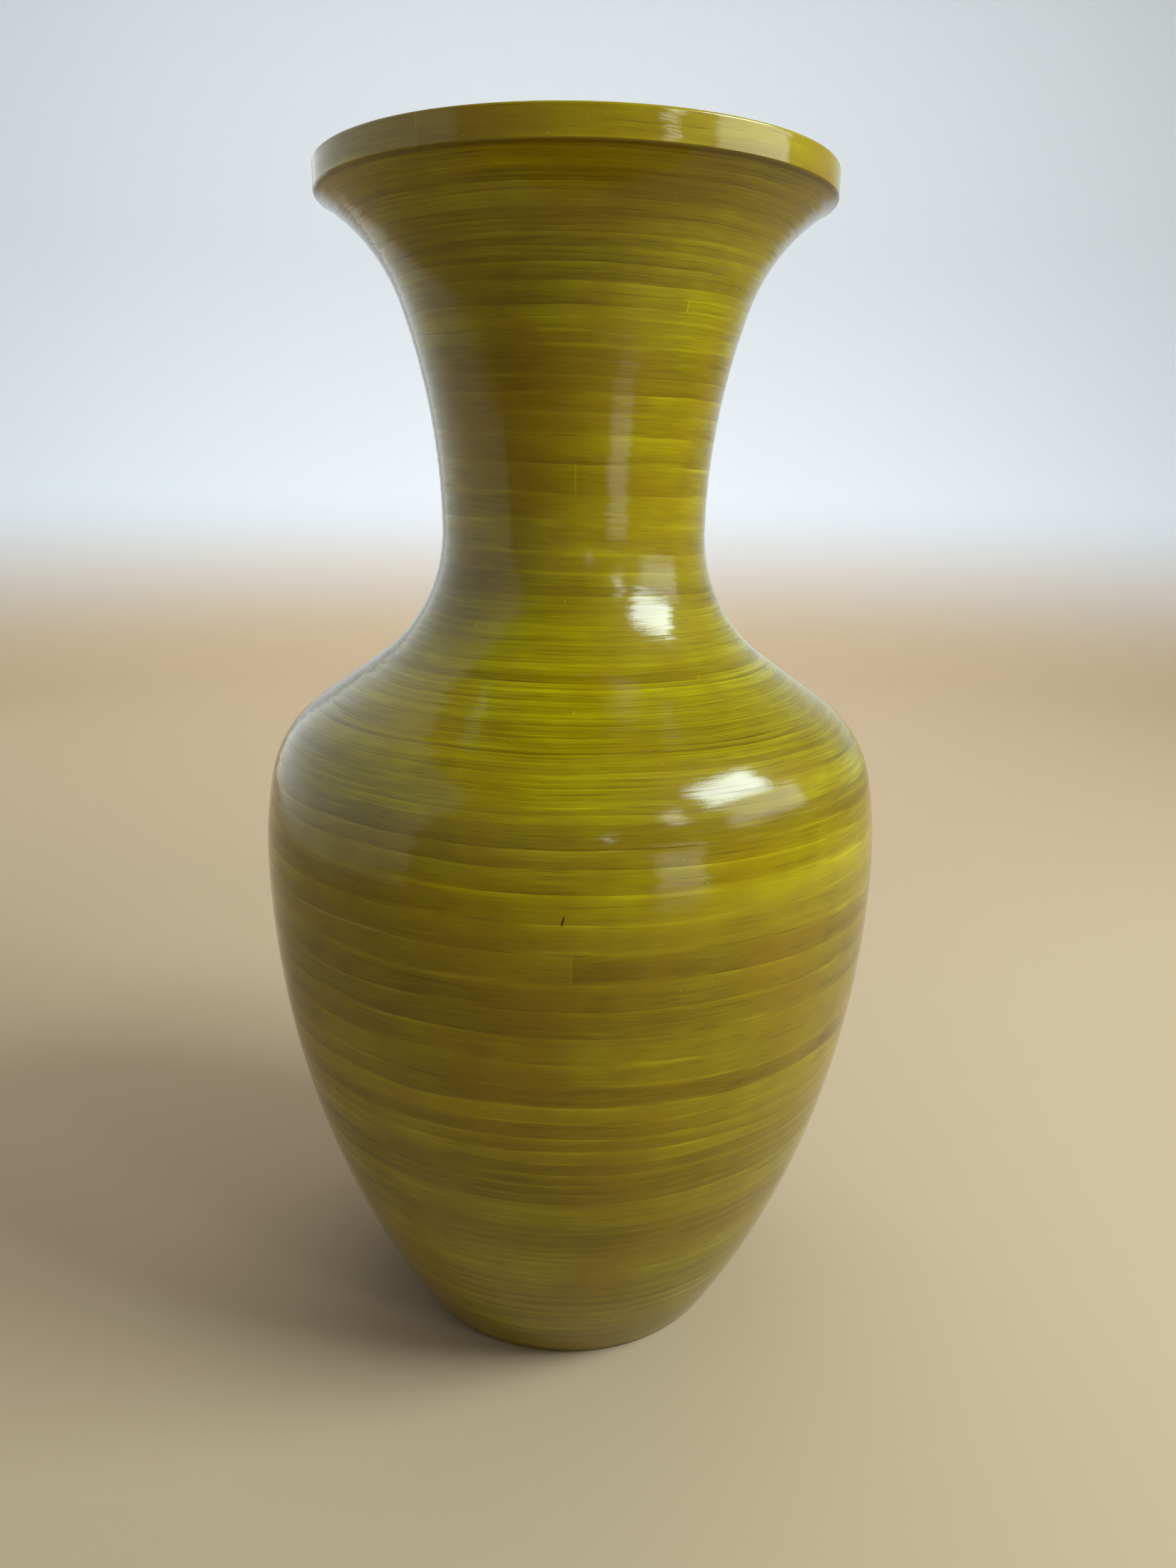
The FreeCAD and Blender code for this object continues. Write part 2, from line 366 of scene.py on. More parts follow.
@dataclass
class CarryRound:
    """The geometry nodes that carry a section round the vase's axis and press the strips' joints in."""

    around: int = 320
    groove_depth: float = 0.055 * MM
    groove_reach: float = 0.45 * MM
    wave_height: float = 0.55 * MM
    wave_length: float = 55.0 * MM
    wave_gain: float = 4.0  # the noise stays within a quarter of its middle
    weld: float = 0.002 * MM

    def build(self) -> NodeTree:
        """Makes the node tree.

        Returns:
            A tree with named inputs for its sizes, whose output is one welded mesh.
        """
        tree = bpy.data.node_groups.new("carry_section_round", "GeometryNodeTree")
        face = tree.interface
        face.new_socket("Section", in_out="INPUT", socket_type="NodeSocketGeometry")
        for label, kind in (("Around", "Int"), ("Groove depth", "Float"), ("Groove reach", "Float"),
                            ("Wave height", "Float"), ("Wave length", "Float"), ("Spiral", "Float"),
                            ("Start", "Float"), ("Weld", "Float"), ("Finish", "Material")):
            face.new_socket(label, in_out="INPUT", socket_type="NodeSocket" + kind)
        face.new_socket("Piece", in_out="OUTPUT", socket_type="NodeSocketGeometry")
        net = NodeNet(tree)
        given = net.add("NodeGroupInput")
        section = given["Section"]
        rows = net.add("GeometryNodeAttributeDomainSize", {"Geometry": section})["Point Count"]
        grid = net.add("GeometryNodeMeshGrid", {"Size X": 1.0, "Size Y": 1.0, "Vertices Y": rows,
                                                "Vertices X": net.sum(given["Around"], 1.0)})
        place = net.split(net.add("GeometryNodeInputPosition")["Position"])
        share = net.sum(place["X"], 0.5)
        row = net.math("ROUND", net.times(net.sum(place["Y"], 0.5), net.sum(rows, -1.0)))
        turn, width, relief = (self.sample(net, section, row, name) for name in ("turn", "width", "relief"))
        out = net.split(self.sample(net, section, row, "out", "FLOAT_VECTOR"))
        point = net.split(self.sample(net, section, row, None, "FLOAT_VECTOR"))
        angle = net.times(net.sum(share, given["Start"]), TURN_ANGLE)
        unpressed = self.turned(net, angle, point["X"], point["Z"])
        per_metre = net.math("DIVIDE", 1.0, given["Wave length"])
        wave = net.add("ShaderNodeTexNoise", {"Vector": unpressed, "Scale": per_metre, "Detail": 1.0})["Fac"]
        tall = net.times(given["Wave height"], self.wave_gain)
        shift = net.math("DIVIDE", net.times(net.less(wave, 0.5), tall), width)
        spiral = net.sum(net.sum(turn, shift), net.times(share, given["Spiral"]))
        across = net.math("FRACT", spiral)
        near = net.times(net.math("MINIMUM", across, net.less(1.0, across)), width)
        groove = net.fade(near, Fade(0.0, given["Groove reach"], 1.0, 0.0))
        push = net.times(net.times(groove, given["Groove depth"]), relief)
        radius = net.less(point["X"], net.times(out["X"], push))
        height = net.less(point["Z"], net.times(out["Z"], push))
        winding = net.add("ShaderNodeCombineXYZ", {"X": share, "Y": spiral})["Vector"]
        flat = net.store(grid["Mesh"], "winding", winding, "FLOAT2", "CORNER")
        shape = net.store(flat, "width", width, "FLOAT", "POINT")
        for step, inputs in (
            ("GeometryNodeSetPosition", {"Position": self.turned(net, angle, radius, height)}),
            ("GeometryNodeMergeByDistance", {"Distance": given["Weld"]}),
            ("GeometryNodeSetShadeSmooth", {"Shade Smooth": True}),
            ("GeometryNodeRealizeInstances", {}),
            ("GeometryNodeSetMaterial", {"Material": given["Finish"]}),
        ):
            shape = net.add(step, {"Geometry": shape} | inputs)["Geometry"]
        net.add("NodeGroupOutput", {"Piece": shape})
        return tree

    @staticmethod
    def turned(net: NodeNet, angle: Socket, radius: Socket,
               height: Socket) -> Socket:
        """The place at an angle from the back, a radius and a height.

        Args:
            net: the tree's nodes.
            angle: radians round from the back, towards the left.
            radius: how far from the axis.
            height: how high.

        Returns:
            The place as a vector.
        """
        left = net.times(net.math("SINE", angle), net.times(radius, -1.0))
        back = net.times(net.math("COSINE", angle), radius)
        return net.add("ShaderNodeCombineXYZ", {"X": left, "Y": back, "Z": height})["Vector"]

    @staticmethod
    def sample(net: NodeNet, section: Socket, row: Socket, name: str | None,
               kind: str = "FLOAT") -> Socket:
        """Reads a value of the section's point in a row, or its position where no name is given.

        Args:
            net: the tree's nodes.
            section: the section's mesh.
            row: which of its points.
            name: the attribute to read.
            kind: the attribute's type.

        Returns:
            The value.
        """
        if name is None:
            value = net.add("GeometryNodeInputPosition")["Position"]
        else:
            value = net.add("GeometryNodeInputNamedAttribute", {"Name": name}, data_type=kind)["Attribute"]
        return net.add("GeometryNodeSampleIndex", {"Geometry": section, "Value": value, "Index": row},
                       data_type=kind, domain="POINT")["Value"]

    def carry(self, name: str, section: list[SectionPoint], tree: NodeTree,
              finish: Material, spiral: bool = True, start: float = 0.0) -> bpy.types.Object:
        """Makes a piece from its section.

        Args:
            name: the piece's name.
            section: its points in order; a closed section ends on its first point.
            tree: the node tree that build made.
            finish: the material of the whole piece.
            spiral: whether each turn runs on into the next one.
            start: where the winding starts, as a share of a turn from the back.

        Returns:
            A plain mesh object with outward faces.
        """
        line = bpy.data.meshes.new(name + "_section")
        line.from_pydata([(p.radius, 0.0, p.height) for p in section], [], [])
        for label in ("turn", "width", "relief"):
            values = line.attributes.new(label, "FLOAT", "POINT")
            values.data.foreach_set("value", [getattr(p, label) for p in section])
        outs = line.attributes.new("out", "FLOAT_VECTOR", "POINT")
        outs.data.foreach_set("vector", [v for p in section for v in (p.out[0], 0.0, p.out[1])])
        carrier = bpy.data.objects.new(name + "_carrier", line)
        bpy.context.scene.collection.objects.link(carrier)
        modifier = carrier.modifiers.new("carry", "NODES")
        modifier.node_group = tree
        sizes = {"Around": self.around, "Weld": self.weld,
                 "Groove depth": self.groove_depth, "Groove reach": self.groove_reach,
                 "Wave height": self.wave_height, "Wave length": self.wave_length,
                 "Spiral": 1.0 if spiral else 0.0, "Start": start, "Finish": finish}
        for item in tree.interface.items_tree:
            if item.item_type == "SOCKET" and item.in_out == "INPUT" and item.name in sizes:
                modifier[item.identifier] = sizes[item.name]
        result = carrier.evaluated_get(bpy.context.evaluated_depsgraph_get())
        plain = bpy.data.meshes.new_from_object(result)
        plain.name = name
        bpy.data.objects.remove(carrier)
        bpy.data.meshes.remove(line)
        return finish_mesh(name, plain)


def finish_mesh(name: str, mesh: bpy.types.Mesh) -> bpy.types.Object:
    """Turns a mesh's faces outwards, keeps its corners sharp and puts it in the scene.

    Args:
        name: the piece's name.
        mesh: a closed mesh.

    Returns:
        The object that holds it, at the origin.
    """
    work = bmesh.new()
    work.from_mesh(mesh)
    bmesh.ops.recalc_face_normals(work, faces=work.faces)
    work.to_mesh(mesh)
    work.free()
    mesh.set_sharp_from_angle(angle=SHARP_ANGLE)
    piece = bpy.data.objects.new(name, mesh)
    bpy.context.scene.collection.objects.link(piece)
    return piece


@dataclass(frozen=True)
class Streak:
    """Noise drawn out along the strip: its length in millimetres, and how many to a millimetre across."""

    length: float
    per_mm: float
    detail: float
    roughness: float = 0.5


@dataclass(frozen=True)
class Mark:
    """A small dark blemish in the wall: where it is, how big, and how far it leans from upright."""

    place: tuple[float, float, float]
    length: float
    width: float
    lean: float


@dataclass(frozen=True)
class BambooLacquer:
    """Stained bamboo strips under clear gloss lacquer, turned and polished. Sizes are in millimetres."""

    name: str = "lacquered_bamboo"
    tones: tuple[tuple[float, Colour], ...] = (
        (0.10, (0.110, 0.061, 0.0003)),
        (0.50, (0.250, 0.188, 0.0005)),
        (0.92, (0.425, 0.366, 0.0010)),
    )
    golden: Colour = (0.255, 0.154, 0.0005)
    # the colour of dark joins and blemishes, also of the painted shade under the rim band
    joint_and_shade: Colour = (0.040, 0.022, 0.0005)
    # painted warm bounce light: a browner tint, multiplied in where a strip's broad side shows, on the steep
    # parts of the wall
    bounce_tint: tuple[float, float, float] = (1.04, 0.955, 1.0)  # where a strip's broad side shows
    speck: Colour = (0.75, 0.62, 0.16)
    gloss_roughness: float = 0.034
    fibre_roughness: float = 0.42
    fibre_gloss: float = 0.05
    coat: float = 0.88
    coat_index: float = 1.34
    turns_per_strip: float = 3.3

    # patterns of the bamboo
    band: Streak = Streak(70.0, 0.20, 3.0)
    fibre: Streak = Streak(13.0, 1.5, 4.0, 0.62)
    hair: Streak = Streak(15.0, 4.6, 3.0, 0.6)
    patch: Streak = Streak(35.0, 0.02, 2.0)
    vein: Streak = Streak(32.0, 2.0, 2.0)
    blotch: tuple[float, float] = (15.0, 3.0)
    sunned: tuple[float, float] = (38.0, 2.0)
    tilt_rate: float = 2.3
    drift_rate: float = 1.3

    # how much each pattern moves the tone
    band_share: float = 0.40
    fibre_share: float = 0.40
    hair_share: float = 0.46
    blotch_share: float = 0.25
    own_share: float = 0.20
    drift_share: float = 0.50
    tilt: Fade = Fade(0.35, 0.65, -0.05, 0.21)
    pale_edge: Fade = Fade(0.01, 0.20, 1.0, 0.0)
    pale_patch: Fade = Fade(0.42, 0.66, 0.0, 0.24)
    pale_butt: Fade = Fade(0.2, 1.1, 0.30, 0.0)
    golden_patch: Fade = Fade(0.42, 0.66, 0.0, 0.5)
    # painted warm bounce light: how much of the browner tint shows, by the strip's shown width in
    # millimetres
    bounce_width: Fade = Fade(2.0, 7.0, 0.0, 1.0)

    # dark lines, blemishes, dust, and painted shade under the rim band
    line_reach: Fade = Fade(0.03, 0.16, 1.0, 0.0)
    line_patch: Fade = Fade(0.36, 0.56, 0.65, 0.0)
    butt_reach: Fade = Fade(0.0, 0.3, 0.45, 0.0)
    vein_patch: Fade = Fade(0.61, 0.76, 0.0, 0.70)
    vein_reach: Fade = Fade(0.0, 1.2, 1.0, 0.55)
    # painted shade: a dark ring where the lip meets the underside of the rim band, at this radius and height
    # in millimetres
    ledge: tuple[float, float] = (93.1, 439.7)
    ledge_shade_reach: Fade = Fade(0.4, 1.5, 0.5, 0.0)
    mark_reach: Fade = Fade(0.45, 1.0, 1.0, 0.0)
    mark_depth: float = 3.0
    marks: tuple[Mark, ...] = (
        Mark((-2.5, -122.2, 209.5), 4.8, 0.5, 15.0),
        Mark((19.5, -114.5, 246.0), 2.4, 0.5, 12.0),
        Mark((-31.9, -56.4, 393.0), 2.2, 0.6, 30.0),
        Mark((-7.5, -54.0, 378.4), 1.5, 0.35, 4.0),
        Mark((14.6, -52.4, 378.4), 1.8, 0.4, -3.0),
        Mark((43.0, -33.8, 379.0), 1.5, 0.4, 6.0),
    )
    dust_scale: float = 0.36
    dust_chosen: Fade = Fade(0.88, 0.90, 0.0, 0.85)
    dust_reach: Fade = Fade(0.035, 0.075, 1.0, 0.0)

    # relief of the lacquer's skin, and of the fibre under it
    hair_depth: float = 0.010
    ridge: Streak = Streak(10.0, 0.9, 5.0, 0.68)
    ridge_depth: float = 0.050
    peel: tuple[float, float] = (1.3, 2.0)
    peel_depth: float = 0.012
    swell: Streak = Streak(42.0, 0.14, 2.0)
    swell_depth: float = 0.060
    line_depth: float = 0.010
    rows_per_mm: float = 0.7
    row_turn: float = 0.085
    row_turn_rate: float = 11.0
    row_tilt: float = 0.05
    row_tilt_rate: float = 7.0
    fibre_depth: float = 0.06
    deep_line_depth: float = 0.05

    def build(self) -> Material:
        """Makes the material.

        Returns:
            A procedural material that reads the piece's winding map, its turn width and Object coordinates.
        """
        material = bpy.data.materials.new(self.name)
        material.use_nodes = True
        material.node_tree.nodes.clear()
        net = NodeNet(material.node_tree)
        strip = StripMap(net, self.turns_per_strip)
        fibre, hair, patchy = (strip.streak(kind) for kind in (self.fibre, self.hair, self.patch))
        tone = self.tone(net, strip, fibre, hair, patchy)
        dark = self.darkness(net, strip, patchy)
        deep = net.less(net.times(fibre, self.fibre_depth), net.times(dark, self.deep_line_depth))
        shader = net.add("ShaderNodeBsdfPrincipled", {
            "Base Color": self.colour(net, strip, tone, dark), "Roughness": self.fibre_roughness,
            "Normal": self.bumped(net, {"Height": deep}), "Specular IOR Level": self.fibre_gloss,
            "Coat Weight": self.coat, "Coat Roughness": self.gloss_roughness, "Coat IOR": self.coat_index,
            "Coat Normal": self.bumped(net, {"Height": self.skin(net, strip, hair, dark),
                                             "Normal": self.torn(net, strip)})})
        net.add("ShaderNodeOutputMaterial", {"Surface": shader["BSDF"]})
        return material

    def tone(self, net: NodeNet, strip: "StripMap", fibre: Socket, hair: Socket,
             patchy: Socket) -> Socket:
        """How bright the stain is.

        Args:
            net: the material's nodes.
            strip: where a point lies on the strip.
            fibre: the noise of the fibre.
            hair: the noise of the finest lines.
            patchy: the slow noise that chooses where edges show.

        Returns:
            A number about 0.5, from which the stain's colour is looked up.
        """
        tilt = net.fade(strip.slow_tone(self.tilt_rate), self.tilt)
        tone = net.sum(net.times(net.less(strip.across, 0.5), tilt), 0.5)
        for part, share in (
            (strip.streak(self.band), self.band_share),
            (fibre, self.fibre_share),
            (hair, self.hair_share),
            (strip.mottle(*self.blotch), self.blotch_share),
            (strip.own_tone(), self.own_share),
            (strip.slow_tone(self.drift_rate), self.drift_share),
        ):
            tone = net.sum(net.times(net.less(part, 0.5), share), tone)
        edge = net.times(net.fade(strip.margin, self.pale_edge), net.fade(patchy, self.pale_patch))
        return net.sum(net.sum(tone, edge), net.fade(strip.reach, self.pale_butt))

    def darkness(self, net: NodeNet, strip: "StripMap", patchy: Socket) -> Socket:
        """How much of a point lies in a dark strip join, vein or blemish, or in the painted shade under the
        rim band, 0 to 1.

        Args:
            net: the material's nodes.
            strip: where a point lies on the strip.
            patchy: the slow noise that chooses where joints show.

        Returns:
            The share.
        """
        line = net.times(net.fade(strip.edge, self.line_reach), net.fade(patchy, self.line_patch))
        butt = net.fade(strip.reach, self.butt_reach)
        vein = net.times(net.fade(strip.streak(self.vein), self.vein_patch),
                         net.fade(strip.edge, self.vein_reach))
        # painted shade under the rim band's overhang
        ledge = net.fade(strip.from_ring(*self.ledge), self.ledge_shade_reach)
        return net.most(line, butt, vein, ledge, *(self.blemish(net, strip, mark) for mark in self.marks))

    def blemish(self, net: NodeNet, strip: "StripMap", mark: Mark) -> Socket:
        """How much of a point lies in a mark, 0 to 1.

        Args:
            net: the material's nodes.
            strip: where a point lies on the strip.
            mark: the mark.

        Returns:
            The share.
        """
        x, y, _ = mark.place
        facing = math.atan2(x, -y)
        local = net.add("ShaderNodeMapping", {
            "Vector": strip.object_mm, "Location": mark.place,
            "Rotation": (0.0, math.radians(mark.lean), facing),
            "Scale": (mark.width, self.mark_depth, mark.length / 2)}, vector_type="TEXTURE")
        away = net.add("ShaderNodeVectorMath", {"Vector": local["Vector"]}, operation="LENGTH")["Value"]
        return net.fade(away, self.mark_reach)

    def colour(self, net: NodeNet, strip: "StripMap", tone: Socket,
               dark: Socket) -> Socket:
        """The stain's colour, with its golden patches, painted warm bounce light, dark lines, painted shade
        under the rim band and dust.

        Args:
            net: the material's nodes.
            strip: where a point lies on the strip.
            tone: how bright the stain is.
            dark: how much of a point lies in a dark line, a blemish or the painted shade under the rim band.

        Returns:
            The colour.
        """
        ramp = net.add("ShaderNodeValToRGB", {"Fac": tone})
        self.set_tones(ramp.node.color_ramp)
        golden = net.fade(strip.mottle(*self.sunned), self.golden_patch)
        aged = self.mix(net, golden, ramp["Color"], self.golden)
        # painted warm bounce light: browner where a strip's broad side shows
        flat = self.mix(net, net.fade(strip.width, self.bounce_width), aged, self.bounce_tint, "MULTIPLY")
        # dark joins, veins and blemishes, and the painted shade under the rim band
        stained = self.mix(net, dark, flat, self.joint_and_shade)
        dust = net.add("ShaderNodeTexVoronoi", {"Vector": strip.object_mm, "Scale": self.dust_scale})
        chosen = net.fade(net.split(dust["Color"])["X"], self.dust_chosen)
        dusty = net.times(net.fade(dust["Distance"], self.dust_reach), chosen)
        return self.mix(net, dusty, stained, self.speck)

    def skin(self, net: NodeNet, strip: "StripMap", hair: Socket,
             dark: Socket) -> Socket:
        """The height of the lacquer's skin, in millimetres.

        Args:
            net: the material's nodes.
            strip: where a point lies on the strip.
            hair: the noise of the finest lines.
            dark: how much of a point is dark.

        Returns:
            The height.
        """
        height = net.times(hair, self.hair_depth)
        for relief, depth in ((strip.streak(self.ridge), self.ridge_depth),
                              (strip.mottle(*self.peel), self.peel_depth),
                              (strip.streak(self.swell), self.swell_depth)):
            height = net.sum(height, net.times(relief, depth))
        return net.less(height, net.times(dark, self.line_depth))

    def torn(self, net: NodeNet, strip: "StripMap") -> Socket:
        """The surface's normal, turned a little in each fine row of the strip, so that highlights tear.

        Args:
            net: the material's nodes.
            strip: where a point lies on the strip.

        Returns:
            The turned normal.
        """
        normal = net.add("ShaderNodeNewGeometry")["Normal"]
        level = net.add("ShaderNodeTangent", direction_type="RADIAL", axis="Z")["Tangent"]
        upwards = net.vector("CROSS_PRODUCT", normal, level)
        for way, rate, strength in ((level, self.row_turn_rate, self.row_turn),
                                    (upwards, self.row_tilt_rate, self.row_tilt)):
            amount = net.times(net.less(strip.row_tone(self.rows_per_mm, rate), 0.5), strength)
            normal = net.vector("ADD", normal, net.vector("SCALE", way, amount))
        return net.vector("NORMALIZE", normal)

    @staticmethod
    def bumped(net: NodeNet, inputs: dict[str, Socket]) -> Socket:
        """The normal of a surface with a height in millimetres."""
        return net.add("ShaderNodeBump", {"Strength": 1.0, "Distance": MM} | inputs)["Normal"]

    @staticmethod
    def mix(net: NodeNet, share: object, under: object, over: Colour,
            blend: str = "MIX") -> Socket:
        """Lays a colour over another one by a share.

        Args:
            net: the material's nodes.
            share: how much of the upper colour shows.
            under: the lower colour.
            over: the upper colour.
            blend: how the two are blended.

        Returns:
            The colour.
        """
        mixed = net.add("ShaderNodeMix", {"Factor": share}, data_type="RGBA", blend_type=blend)
        net.feed(enabled_socket(mixed.node.inputs, "A"), under)
        net.feed(enabled_socket(mixed.node.inputs, "B"), (*over, 1.0))
        return mixed["Result"]

    def set_tones(self, ramp: bpy.types.ColorRamp) -> None:
        """Sets the stain's colours from its dark streaks to its bright ones.

        Args:
            ramp: the node's colour ramp, with two stops.
        """
        (dark_at, _), (body_at, _), (bright_at, _) = self.tones
        ramp.elements[0].position = dark_at
        ramp.elements[1].position = bright_at
        ramp.elements.new(body_at)
        for element, (_, colour) in zip(ramp.elements, self.tones):
            element.color = (*colour, 1.0)


class StripMap:
    """Where a point of the surface lies on the wound strip, and patterns drawn from that, as sockets."""

    ALONG_RATE = 3.0  # how fast streaks change from turn to turn
    ROW_STEP = 17.3  # how far apart neighbouring rows read their noise

    def __init__(self, net: NodeNet, turns_per_strip: float) -> None:
        """Reads the winding map.

        Args:
            net: the material's nodes.
            turns_per_strip: how many turns each length of strip makes.
        """
        self.net = net
        place = net.add("ShaderNodeTexCoord")["Object"]
        self.object_mm = net.vector("SCALE", place, 1.0 / MM)
        parts = net.split(self.object_mm)
        self.x, self.y, self.z = parts["X"], parts["Y"], parts["Z"]
        self.radius = self.length(self.x, self.y)
        winding = net.split(net.add("ShaderNodeUVMap", uv_map="winding")["UV"])
        self.width = net.times(net.add("ShaderNodeAttribute", attribute_name="width")["Fac"], 1.0 / MM)
        self.across = net.math("FRACT", winding["Y"])
        self.across_mm = net.times(self.across, self.width)
        self.along = net.less(winding["X"], net.math("FLOOR", winding["Y"]))
        self.strips = net.math("DIVIDE", self.along, turns_per_strip)
        self.margin = net.math("MINIMUM", self.across, net.less(1.0, self.across))
        self.edge = net.times(self.margin, self.width)
        self.reach = net.times(net.times(net.math("FRACT", self.strips), self.radius),
                               turns_per_strip * TURN_ANGLE)

    def length(self, first: Socket, second: Socket) -> Socket:
        """The length of a step with two parts at right angles."""
        net = self.net
        return net.math("SQRT", net.sum(net.times(first, first), net.times(second, second)))

    def from_ring(self, radius: float, height: float) -> Socket:
        """How far a point lies from a level ring round the axis, in millimetres."""
        return self.length(self.net.less(self.radius, radius), self.net.less(self.z, height))

    def streak(self, kind: Streak) -> Socket:
        """Noise that runs on along the strip from turn to turn and differs between neighbours.

        Args:
            kind: the size and fineness of the streaks.

        Returns:
            The noise, about 0.5 in the middle.
        """
        net = self.net
        vector = net.add("ShaderNodeCombineXYZ", {"X": net.times(self.x, 1.0 / kind.length),
                                                  "Y": net.times(self.y, 1.0 / kind.length),
                                                  "Z": net.times(self.across_mm, kind.per_mm)})["Vector"]
        inputs = {"Vector": vector, "W": net.times(self.along, self.ALONG_RATE), "Scale": 1.0,
                  "Detail": kind.detail, "Roughness": kind.roughness}
        return net.add("ShaderNodeTexNoise", inputs, noise_dimensions="4D")["Fac"]

    def mottle(self, size: float, detail: float) -> Socket:
        """Even noise with blotches of a size in millimetres."""
        return self.net.add("ShaderNodeTexNoise", {"Vector": self.object_mm, "Scale": 1.0 / size,
                                                   "Detail": detail, "Roughness": 0.5})["Fac"]

    def own_tone(self) -> Socket:
        """A number of each length of strip, 0 to 1."""
        return self.net.add("ShaderNodeTexWhiteNoise", {"W": self.net.math("FLOOR", self.strips)},
                            noise_dimensions="1D")["Value"]

    def row_tone(self, rows_per_mm: float, rate: float) -> Socket:
        """Noise of its own in each fine row across the strip, which changes slowly along it.

        Args:
            rows_per_mm: how many rows lie in a millimetre across.
            rate: how fast it changes in a turn.

        Returns:
            The noise, about 0.5 in the middle.
        """
        row = self.net.math("FLOOR", self.net.times(self.across_mm, rows_per_mm))
        place = self.net.sum(self.net.times(self.along, rate), self.net.times(row, self.ROW_STEP))
        return self.net.add("ShaderNodeTexNoise", {"W": place, "Scale": 1.0, "Detail": 1.0},
                            noise_dimensions="1D")["Fac"]

    def slow_tone(self, rate: float) -> Socket:
        """Noise that changes slowly along the strip and hardly across it."""
        return self.net.add("ShaderNodeTexNoise", {"W": self.net.times(self.along, rate), "Scale": 1.0,
                                                   "Detail": 1.0}, noise_dimensions="1D")["Fac"]


@dataclass
class WoundWall:
    """The wall of the vase: coils of strip, each lapped over the one below it."""

    outline: Outline = field(default_factory=Outline)
    strip: Strip = field(default_factory=Strip)
    foot_ease: float = 0.7 * MM
    inside_step: float = 1.6 * MM
    finest_step: float = 0.25 * MM
    coarsest_step: float = 0.9 * MM
    inside_relief: float = 4.0
    steps_per_turn: int = 6
    last_step: float = 1.5
    least_turns: float = 1e-6
    foot_steps: int = 5

    def coils(self) -> list[Coil]:
        """The coils from the foot up.

        Returns:
            Each coil with its stretch of the outline.
        """
        layout = (
            ("lower", ["foot_coil"] + [f"lower_body_coil_{n}" for n in range(1, 6)], Lean.UP),
            ("upper", ["upper_body_coil"], Lean.DOWN),
            ("shoulder", ["shoulder_coil"], Lean.DOWN),
            ("slope", ["slope_coil"], Lean.DOWN),
            ("neck", [f"neck_coil_{n}" for n in range(1, 4)], Lean.DOWN),
            ("flare", [f"flare_coil_{n}" for n in range(1, 3)], Lean.UP),
            ("lip", [f"lip_coil_{n}" for n in range(1, 3)], Lean.UP),
        )
        coils = []
        for stretch, names, lean in layout:
            for place, name in enumerate(names):
                coils.append(Coil(name, stretch, place / len(names), (place + 1) / len(names), lean))
        return coils

    def outside(self, stretch: Stretch, first: float, last: float, turn: float) -> list[SectionPoint]:
        """Points up the outside of a coil, closer together where each turn shows less.

        Args:
            stretch: the stretch of the outline.
            first: the share of it where the coil starts.
            last: the share of it where the coil ends.
            turn: the turn number at the start.

        Returns:
            The points, with the turns counted on.
        """
        points = []
        share = first
        while True:
            radius, height, angle = stretch.at(share)
            shown = self.strip.shown(angle)
            out = (math.cos(angle), math.sin(angle))
            points.append(SectionPoint(radius, height, turn, shown, shown / self.strip.width, out))
            left = (last - share) * stretch.length()
            if left <= 0.0:
                return points
            step = min(max(shown / self.steps_per_turn, self.finest_step), self.coarsest_step)
            if left < self.last_step * step:
                step = left
                share = last
            else:
                share += step / stretch.length()
            turn += step / shown

    def seam_foot(self, outside: SectionPoint, lean: Lean) -> tuple[float, float]:
        """The inner corner of the seam that starts at an outside point.

        Args:
            outside: the seam's outer corner.
            lean: which way the seam runs from there.

        Returns:
            The inner corner's radius and height in metres.
        """
        lap = math.sqrt(self.strip.width ** 2 - self.outline.wall ** 2) * lean.value
        cos, sin = outside.out
        return (outside.radius - self.outline.wall * cos - lap * sin,
                outside.height - self.outline.wall * sin + lap * cos)

    def inside(self, top: tuple[float, float], bottom: tuple[float, float], high: float,
               low: float) -> list[SectionPoint]:
        """Points down the inside of a coil, between its two inner corners.

        Args:
            top: radius and height of the upper corner.
            bottom: radius and height of the lower corner.
            high: the turn number at the top.
            low: the turn number at the bottom.

        Returns:
            The points, both corners included.
        """
        run = math.dist(top, bottom)
        rows = max(2, round(run / self.inside_step))
        shown = min(self.strip.width, run / max(high - low, self.least_turns))
        out = ((bottom[1] - top[1]) / run, (top[0] - bottom[0]) / run)
        points = []
        for row in range(rows + 1):
            share = row / rows
            points.append(SectionPoint(top[0] + (bottom[0] - top[0]) * share,
                                       top[1] + (bottom[1] - top[1]) * share,
                                       high + (low - high) * share, shown, self.inside_relief, out))
        return points

    def build(self, carrier: CarryRound, tree: NodeTree, finish: Material) -> None:
        """Makes each coil and puts it in its node's place.

        Args:
            carrier: what carries a section round.
            tree: its node tree.
            finish: the lacquered bamboo.
        """
        stretches = self.outline.stretches()
        turn = 0.0
        below: tuple[float, float] | None = None
        coils = self.coils()
        for coil in coils:
            stretch = stretches[coil.stretch]
            outer = self.outside(stretch, coil.first, coil.last, turn)
            corner = self.seam_foot(outer[-1], coil.lean)
            if coil is coils[-1]:
                reach = stretch.size + self.outline.wall
                climb = self.outline.lip_height - stretch.origin[1]
                corner = (stretch.origin[0] - math.sqrt(reach ** 2 - climb ** 2), self.outline.lip_height)
            if below is None:
                section = self.foot_section(stretch, outer, corner)
            else:
                section = outer + self.inside(corner, below, outer[-1].turn, turn)
            section.append(section[0])
            piece = carrier.carry(coil.name + "_winding", section, tree, finish)
            seat(piece, coil.name)
            turn = outer[-1].turn
            below = corner

